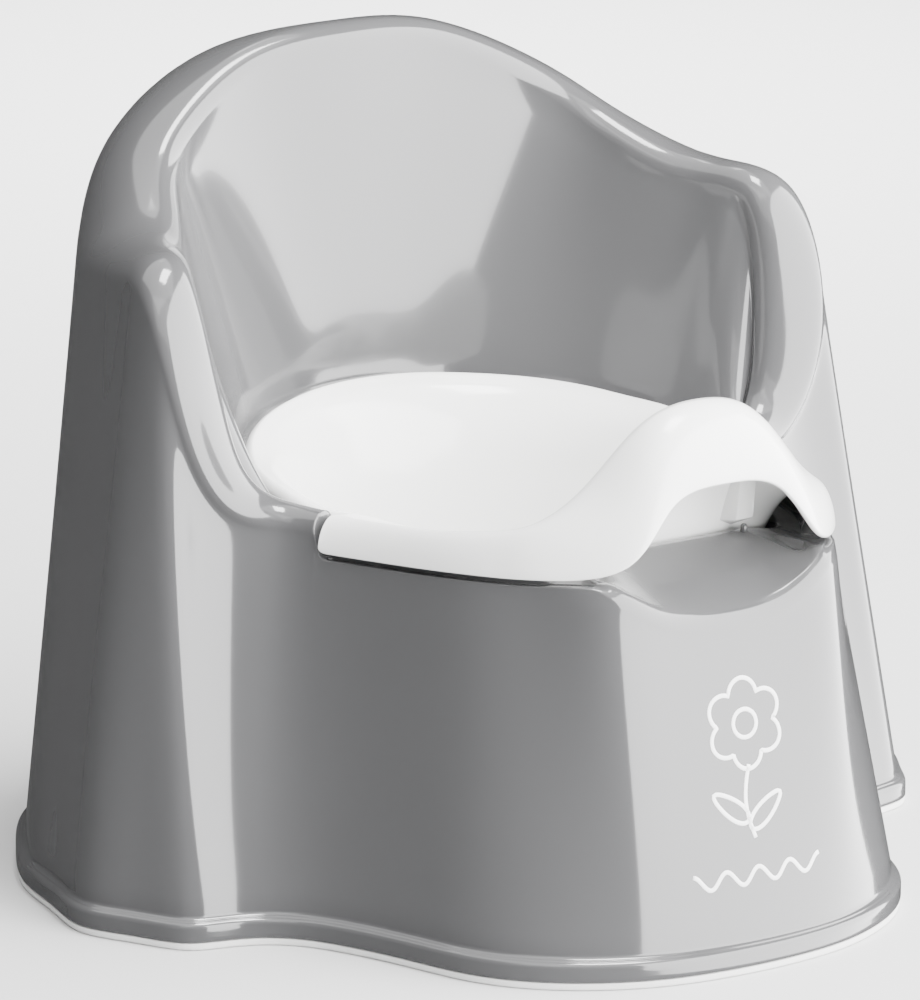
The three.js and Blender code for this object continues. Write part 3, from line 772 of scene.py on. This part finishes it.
def leaf(x, z, direction):
    """The outline of a leaf that starts on the stem and points up and out."""
    line = []
    for turn in np.linspace(0, 2 * math.pi, LEAF_POINTS, endpoint=False):
        run = (1 - math.cos(turn)) / 2 * LEAF_LENGTH
        fullness = LEAF_END_SHARE + (1 - LEAF_END_SHARE) * math.cos(turn / 2) ** 2
        swell = math.sin(turn) * fullness * LEAF_WIDTH / 2
        across = run * math.cos(LEAF_TILT) - swell * math.sin(LEAF_TILT)
        up = run * math.sin(LEAF_TILT) + swell * math.cos(LEAF_TILT)
        line.append((x + direction * across, z + up))
    return line


def round_outline(reaches):
    """A closed line round the flower's middle, at the given distances from it."""
    turns = np.linspace(0, 2 * math.pi, len(reaches), endpoint=False)
    return np.stack([FLOWER_X + reaches * np.sin(turns), FLOWER_Z + reaches * np.cos(turns)], 1)


def motif(material):
    vertices, faces = [], []
    turns = np.linspace(0, 2 * math.pi, BLOOM_POINTS, endpoint=False)
    notches = 1 - np.abs(np.cos(PETALS * turns / 2)) ** PETAL_ROUNDNESS
    ink_line(round_outline(PETAL_REACH - PETAL_DEPTH * notches), True, vertices, faces)
    ink_line(round_outline(np.full(BLOOM_POINTS, FLOWER_EYE)), True, vertices, faces)
    shares = np.linspace(0, 1, STEM_POINTS)
    stem_top = FLOWER_Z - PETAL_REACH + INK_WIDTH
    stem_x = FLOWER_X - STEM_SWAY * np.sin(math.pi * shares)
    ink_line(np.stack([stem_x, stem_top + (STEM_BOTTOM - stem_top) * shares], 1), False, vertices, faces)
    for across, up, direction in LEAVES:
        ink_line(leaf(FLOWER_X + across, STEM_BOTTOM + up, direction), True, vertices, faces)
    half = WAVE_LENGTH * WAVE_COUNT / 2
    wave_x = np.linspace(-half, half, WAVE_POINTS)
    wave_z = WAVE_Z + WAVE_HEIGHT * np.cos(2 * math.pi * wave_x / WAVE_LENGTH)
    ink_line(np.stack([FLOWER_X + wave_x, wave_z], 1), False, vertices, faces)
    mesh_piece("front_motif", vertices, faces, "chair", None, material)


# ---- Materials -------------------------------------------------------------------------------------------

PLASTIC_IOR = 1.5
COAT_ROUGHNESS = 0.04
LIGHTEST = 0.95
DRIFT_SCALE, DRIFT_DETAIL = 9, 3
GRAIN_DETAIL, GRAIN_DEPTH = 2, 0.0002
# The parts of the drift's range that colour and gloss are spread over.
COLOUR_RANGE = (0.35, 0.65)
GLOSS_RANGE = (0.3, 0.7)


def noise(tree, where, scale, detail):
    """A noise node over the piece's own coordinates; returns its output."""
    node = tree.nodes.new("ShaderNodeTexNoise")
    node.inputs["Scale"].default_value = scale
    node.inputs["Detail"].default_value = detail
    tree.links.new(where, node.inputs["Vector"])
    return node.outputs["Fac"]


def plastic(name, colour, roughness, colour_spread, roughness_spread, grain, grain_scale, coat=0.0):
    """A moulded plastic: slow drifts of colour and gloss, and a fine grain in the surface."""
    material = bpy.data.materials.new(name)
    material.use_nodes = True
    tree = material.node_tree
    shader = tree.nodes["Principled BSDF"]
    shader.inputs["IOR"].default_value = PLASTIC_IOR
    shader.inputs["Coat Weight"].default_value = coat
    shader.inputs["Coat Roughness"].default_value = COAT_ROUGHNESS
    where = tree.nodes.new("ShaderNodeTexCoord").outputs["Object"]
    drift = noise(tree, where, DRIFT_SCALE, DRIFT_DETAIL)

    tone = tree.nodes.new("ShaderNodeValToRGB")
    shares = (1 - colour_spread, 1 + colour_spread)
    for element, position, share in zip(tone.color_ramp.elements, COLOUR_RANGE, shares):
        element.position = position
        element.color = (*[min(channel * share, LIGHTEST) for channel in colour], 1)
    tree.links.new(drift, tone.inputs["Fac"])
    tree.links.new(tone.outputs["Color"], shader.inputs["Base Color"])

    gloss = tree.nodes.new("ShaderNodeMapRange")
    gloss.inputs["From Min"].default_value, gloss.inputs["From Max"].default_value = GLOSS_RANGE
    gloss.inputs["To Min"].default_value = roughness - roughness_spread
    gloss.inputs["To Max"].default_value = roughness + roughness_spread
    tree.links.new(drift, gloss.inputs["Value"])
    tree.links.new(gloss.outputs["Result"], shader.inputs["Roughness"])

    bump = tree.nodes.new("ShaderNodeBump")
    bump.inputs["Strength"].default_value = grain
    bump.inputs["Distance"].default_value = GRAIN_DEPTH
    tree.links.new(noise(tree, where, grain_scale, GRAIN_DETAIL), bump.inputs["Height"])
    tree.links.new(bump.outputs["Normal"], shader.inputs["Normal"])
    return material


chair_grey = plastic(
    "chair_grey", colour=(0.082, 0.082, 0.084), roughness=0.13, colour_spread=0.015,
    roughness_spread=0.012, grain=0.008, grain_scale=700, coat=0.5)
potty_white = plastic(
    "potty_white", colour=(0.87, 0.87, 0.86), roughness=0.16, colour_spread=0.008,
    roughness_spread=0.015, grain=0.01, grain_scale=600)
strip_white = plastic(
    "strip_white", colour=(0.74, 0.74, 0.73), roughness=0.55, colour_spread=0.02,
    roughness_spread=0.05, grain=0.25, grain_scale=900)
ink_white = plastic(
    "ink_white", colour=(0.86, 0.86, 0.86), roughness=0.32, colour_spread=0.01,
    roughness_spread=0.03, grain=0.02, grain_scale=500)

# ---- The pieces ------------------------------------------------------------------------------------------

chair_shell(chair_grey)
nub("rest_nub_left", -NUB_X, chair_grey)
nub("rest_nub_right", NUB_X, chair_grey)
grip_strip(strip_white)
inner_potty(potty_white)
rib("guard_rib_right", RIB_PLACES, potty_white)
rib("guard_rib_left", [-t for t in RIB_PLACES], potty_white)
motif(ink_white)

# ---- Studio, in metres and watts -------------------------------------------------------------------------

FLOOR_SIZE = 40
FLOOR_GREY, FLOOR_ROUGHNESS, FLOOR_SHINE = 0.62, 0.9, 0.1
WORLD_GREY = 0.1
# Name, place, target, width, height, strength, and spread in degrees. The key reaches below the floor, which
# reflections don't show, so that its reflection in the front wall runs down to the flange.
SOFTBOXES = [
    ("key_right", (0.95, -1.03, 0.7), (0.28, -0.286, 0.7), 3.36, 2.56, 430, 180),
    ("front_high", (-0.97, -1.39, 1.85), (0, 0, 0.2), 2.4, 1.2, 16, 180),
    ("top_wide", (-0.3, 0, 2.2), (-0.1, 0, 0.15), 3, 2.4, 66, 180),
    ("top_bright", (0.2, -0.2, 2.1), (0, 0, 0.15), 0.8, 0.55, 60, 180),
    ("background", (0.85, 1.35, 1.6), (0.85, 1.35, 0), 1.2, 1.2, 30, 70),
]
CAMERA_PLACE = Vector((-1.649, -2.468, 0.949))
CAMERA_TARGET = Vector((-0.0169, 0.0111, 0.1489))
# The lens and the sensor are in millimetres.
LENS, SENSOR = 276.7, 36
CAMERA_REACH = 100


def studio_floor():
    mesh = bpy.data.meshes.new("studio_floor")
    half = FLOOR_SIZE / 2
    corners = [(-half, -half, 0), (half, -half, 0), (half, half, 0), (-half, half, 0)]
    mesh.from_pydata(corners, [], [(0, 1, 2, 3)])
    floor = bpy.data.objects.new("studio_floor", mesh)
    bpy.context.scene.collection.objects.link(floor)
    material = bpy.data.materials.new("studio_floor")
    material.use_nodes = True
    shader = material.node_tree.nodes["Principled BSDF"]
    shader.inputs["Base Color"].default_value = (FLOOR_GREY, FLOOR_GREY, FLOOR_GREY, 1)
    shader.inputs["Roughness"].default_value = FLOOR_ROUGHNESS
    shader.inputs["Specular IOR Level"].default_value = FLOOR_SHINE
    mesh.materials.append(material)
    floor.visible_glossy = False


def turned_to(place, target):
    """The rotation of a light or a camera at a place that points at a target."""
    return (Vector(place) - Vector(target)).to_track_quat("Z", "Y").to_euler()


def softbox(name, place, target, width, height, strength, spread):
    """A flat rectangular light that the camera doesn't see."""
    data = bpy.data.lights.new(name, "AREA")
    data.shape = "RECTANGLE"
    data.size = width
    data.size_y = height
    data.energy = strength
    data.spread = math.radians(spread)
    light = bpy.data.objects.new(name, data)
    light.location = place
    light.rotation_euler = turned_to(place, target)
    light.visible_camera = False
    bpy.context.scene.collection.objects.link(light)


def studio_world():
    world = bpy.data.worlds.new("studio")
    world.use_nodes = True
    background = world.node_tree.nodes["Background"]
    background.inputs["Color"].default_value = (WORLD_GREY, WORLD_GREY, WORLD_GREY, 1)
    background.inputs["Strength"].default_value = 1
    bpy.context.scene.world = world


def camera():
    data = bpy.data.cameras.new("camera")
    data.lens = LENS
    data.sensor_width = SENSOR
    data.clip_end = CAMERA_REACH
    eye = bpy.data.objects.new("camera", data)
    eye.location = CAMERA_PLACE
    eye.rotation_euler = turned_to(CAMERA_PLACE, CAMERA_TARGET)
    bpy.context.scene.collection.objects.link(eye)
    bpy.context.scene.camera = eye


studio_floor()
studio_world()
for row in SOFTBOXES:
    softbox(*row)
camera()
